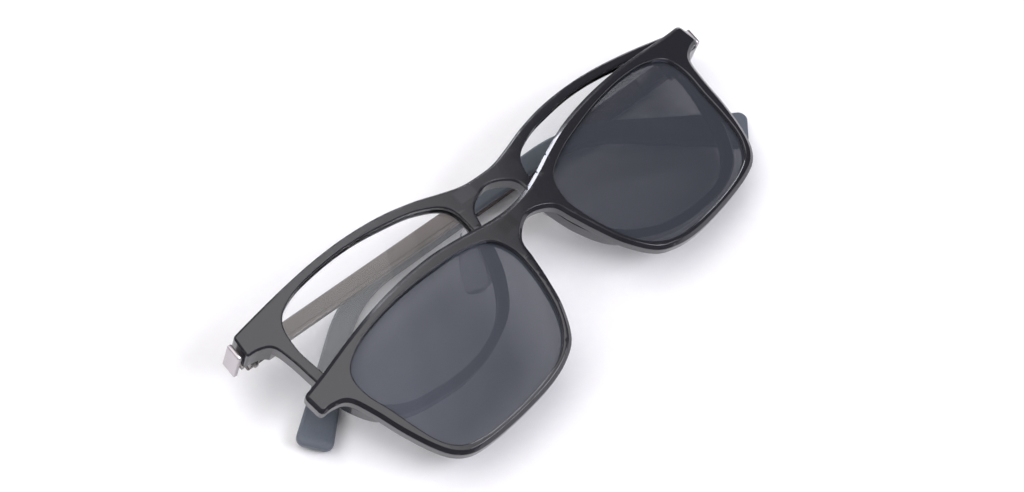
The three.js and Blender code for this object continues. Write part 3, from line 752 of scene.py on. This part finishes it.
# Brushed gunmetal plate: a brown-grey metal with fine streaks along the bar, drawn 0.2 mm apart,
# coarser than the real ones so that they show.
gunmetal, tree, shader, _ = surface("brushed gunmetal plate", Metallic=1.0, Roughness=0.38)
along = node(tree, "ShaderNodeTexCoord").outputs["UV"]
stretch = node(tree, "ShaderNodeMapping", {"Vector": along, "Scale": (0.12, 5.0, 1.0)})
streaks = node(tree, "ShaderNodeTexNoise", {"Vector": stretch.outputs["Vector"], "Scale": 1.0,
                                            "Detail": 4.0, "Roughness": 0.7})
tone = node(tree, "ShaderNodeMix", {"Factor": streaks.outputs["Fac"], "A": colour("#4a4442"),
                                    "B": colour("#7d7471")}, data_type="RGBA")
tree.links.new(tone.outputs["Result"], shader.inputs["Base Color"])
brushed = node(tree, "ShaderNodeMapRange", {"Value": streaks.outputs["Fac"], "To Min": 0.28,
                                            "To Max": 0.55})
tree.links.new(brushed.outputs["Result"], shader.inputs["Roughness"])
bump = node(tree, "ShaderNodeBump", {"Height": streaks.outputs["Fac"], "Strength": 0.25,
                                     "Distance": 0.00003})
tree.links.new(bump.outputs["Normal"], shader.inputs["Normal"])

# Matt-textured nylon: slate grey with a soft sheen, from a spark-eroded mould, grain 0.4 mm.
slate_nylon, tree, shader, at = surface("slate matt nylon", Roughness=0.55, IOR=1.5,
                                        Base_Color=colour("#565d66"))
grain = node(tree, "ShaderNodeTexNoise", {"Vector": at, "Scale": 2600.0, "Detail": 3.0})
tone = node(tree, "ShaderNodeMix", {"Factor": grain.outputs["Fac"], "A": colour("#50565f"),
                                    "B": colour("#5f666f")}, data_type="RGBA")
tree.links.new(tone.outputs["Result"], shader.inputs["Base Color"])
bump = node(tree, "ShaderNodeBump", {"Height": grain.outputs["Fac"], "Strength": 0.15,
                                     "Distance": 0.00004})
tree.links.new(bump.outputs["Normal"], shader.inputs["Normal"])


def evenly(start, end, count):
    """Evenly spaced distances from a start to an end, both included."""
    return [start + (end - start) * i / count for i in range(count + 1)]


for name, side in SIDES:
    whole = grooved(BAR_HEIGHT, BAR_THICK, BAR_ROUND, GROOVE_DEEP)
    small = [(x * BAR_END[0], y * BAR_END[1]) for x, y in whole]
    tang = [(x * TANG[0] / BAR_HEIGHT, y * TANG[1] / BAR_THICK) for x, y in whole]
    sections = [(-BAR_FRONT, small), (0.25 - BAR_FRONT, whole)]
    sections += [(s, whole) for s in evenly(1, SLEEVE_FROM - 0.5, 12)]
    sections += [(SLEEVE_FROM - 0.3, small), (SLEEVE_FROM - 0.28, tang), (SOCKET_TO - 0.5, tang)]
    rings = [temple_ring(name, side, s, section) for s, section in sections]
    mesh = loft(f"gunmetal_bar_{name}", rings, [s for s, _ in sections])
    bar = add_piece(f"gunmetal_bar_{name}", mesh, gunmetal, sharp_degrees=24)
    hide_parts(f"temple_bar_{name}")
    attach(bar, f"temple_{name}")

    socket = rounded(TANG[0] + SOCKET_FIT, TANG[1] + SOCKET_FIT, SOCKET_ROUND)
    sections = [(SOCKET_TO, socket), (SLEEVE_FROM + 0.02, socket)]
    sections += [(SLEEVE_FROM + past, sleeve_section(SLEEVE_FROM + past, inset))
                 for past, inset in SLEEVE_MOUTH]
    sections += [(s, sleeve_section(s)) for s in evenly(SLEEVE_FROM + 2, TEMPLE_LENGTH - 2.2, 54)]
    sections += [(TEMPLE_LENGTH - back_by, sleeve_section(TEMPLE_LENGTH - back_by, inset))
                 for back_by, inset in SLEEVE_TIP]
    rings = [temple_ring(name, side, s, section) for s, section in sections]
    mesh = loft(f"ear_sleeve_{name}", rings, [s for s, _ in sections])
    sleeve = add_piece(f"ear_sleeve_{name}", mesh, slate_nylon, sharp_degrees=40)
    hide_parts(f"temple_sleeve_{name}")
    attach(sleeve, f"temple_{name}")

# ---- the sun clip-on: frame and lenses ----
# The clip is moulded in the same smoke nylon, 3.4 mm deep, to the front's outline, and holds two
# polarised sun lenses. It lies turned about its left end, off the seat where its magnets hold it.
CLIP_GAP, CLIP_DEPTH = 0.4, 3.4
CLIP_NEAR = -(CLIP_GAP + CLIP_DEPTH)
CLIP_CORNER = 1.35
CLIP_PATCH_Z = 3
SUN_NEAR, SUN_THICK = 1.6, 1.0
CLIP_BROW = [(0, 11), (5, 11.4), (10.2, 12.6), (16.5, 14.4), (24.7, 16.2), (34.3, 17),
             (43.7, 16.9), (53.5, 16), (62.4, 14.8), (69, 14.2)]
CLIP_LOW = [(69.3, 8.1), (65.9, 7.6), (62.9, 5.6), (61.2, -0.3), (59.9, -7.3), (58, -14.4),
            (55.9, -19.2), (52.9, -22.2), (48.6, -23.7), (42, -24.6), (34, -25), (27, -24.8),
            (21, -23.6), (15.8, -20.8), (11.4, -14.2), (8.8, -7), (7.2, -1.3), (5.6, 3.6), (0, 6.4)]
CLIP_OPENING = [(35.2, 14.3), (26.8, 13.3), (18.6, 11.7), (11.9, 8.6), (9.5, 3), (9.9, -3),
                (11.4, -9), (13.6, -14.6), (16.8, -18.9), (21.2, -21.7), (27, -22.9), (34, -23.2),
                (41, -22.9), (47.4, -21.9), (52.4, -19.8), (55.4, -15.7), (56.9, -9.6),
                (57.9, -2.4), (59, 4.4), (57.8, 10), (52.6, 13.2), (44.4, 14.4)]
CLIP_OUTER_EDGE = [(0.96, 0), (0.89, 0.02), (0.83, 0.06), (0.07, 0.7), (0.02, 0.77), (0, 0.86),
                   (0, 3.0), (0.04, 3.12), (0.22, 3.35), (0.32, 3.4)]
CLIP_OPENING_EDGE = [(0.3, 0), (0.24, 0.03), (0.04, 0.24), (0, 0.32), (0, 1.3), (1.0, 1.3),
                     (1.0, 2.9), (0, 2.9), (0, 3.2), (0.05, 3.32), (0.2, 3.4)]
clip_pivot = Vector(joints["clip_turn"]["pos_m"])
clip_swing = (Matrix.Translation(clip_pivot)
              @ Matrix.Rotation(-math.radians(joints["clip_turn"]["range_deg"][1]), 4,
                                Vector(joints["clip_turn"]["axis"]))
              @ Matrix.Translation(-clip_pivot))


def clip_place(x, y, z):
    """A point of the clip, given where it would be with the clip seated on the front."""
    return clip_swing @ place(x, y, z)


def on_clip(x, y, depth):
    """A point of the clip, a given depth behind its face."""
    return clip_place(x, y, face_z(x, y, CLIP_NEAR + depth))


turn = (clip_swing.to_3x3() @ Matrix((across, upward, outward)).transposed()).to_euler()
# Painted shade: the clip's rectangle is darker, where less light shows through the nylon over its
# magnet.
clip_nylon = smoke_nylon("smoke nylon, clip", "#1a1a1e", "#202025",
                         clip_place(-MAGNET_U, MAGNET_V, CLIP_PATCH_Z), turn, "#131316")
edges = [(edge_loop(CLIP_BROW, CLIP_LOW, CLIP_CORNER), CLIP_OUTER_EDGE)]
edges += [(opening_loop(CLIP_OPENING, side), CLIP_OPENING_EDGE) for _, side in SIDES]
mesh = mesh_of(plate(edges, on_clip, grid_cuts()), "clip_moulding")
mesh = pocketed(mesh, [pocket_corners(side, CLIP_GAP, clip_place) for _, side in SIDES])
clip = flattened(add_piece("clip_moulding", mesh, clip_nylon))
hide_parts("clip_frame")
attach(clip, "clip")

# Polarised triacetate: a polished smoke lens with a blue-grey anti-glare bloom, whose tone is
# very slightly uneven.
sun_film, tree, shader, at = surface("polarised smoke triacetate", Roughness=0.05, IOR=1.5,
                                     Alpha=0.66, Specular_Tint=colour("#dfe6ff"))
shade = node(tree, "ShaderNodeTexNoise", {"Vector": at, "Scale": 20.0, "Detail": 1.0})
tone = node(tree, "ShaderNodeMix", {"Factor": shade.outputs["Fac"], "A": colour("#2e3036"),
                                    "B": colour("#34363d")}, data_type="RGBA")
tree.links.new(tone.outputs["Result"], shader.inputs["Base Color"])
for name, side in SIDES:
    mesh = lens_mesh(f"smoke_lens_{name}", CLIP_OPENING, side, SUN_NEAR, SUN_THICK, on_clip)
    lens = add_piece(f"smoke_lens_{name}", mesh, sun_film)
    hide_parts(f"sun_lens_{name}")
    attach(lens, "clip")
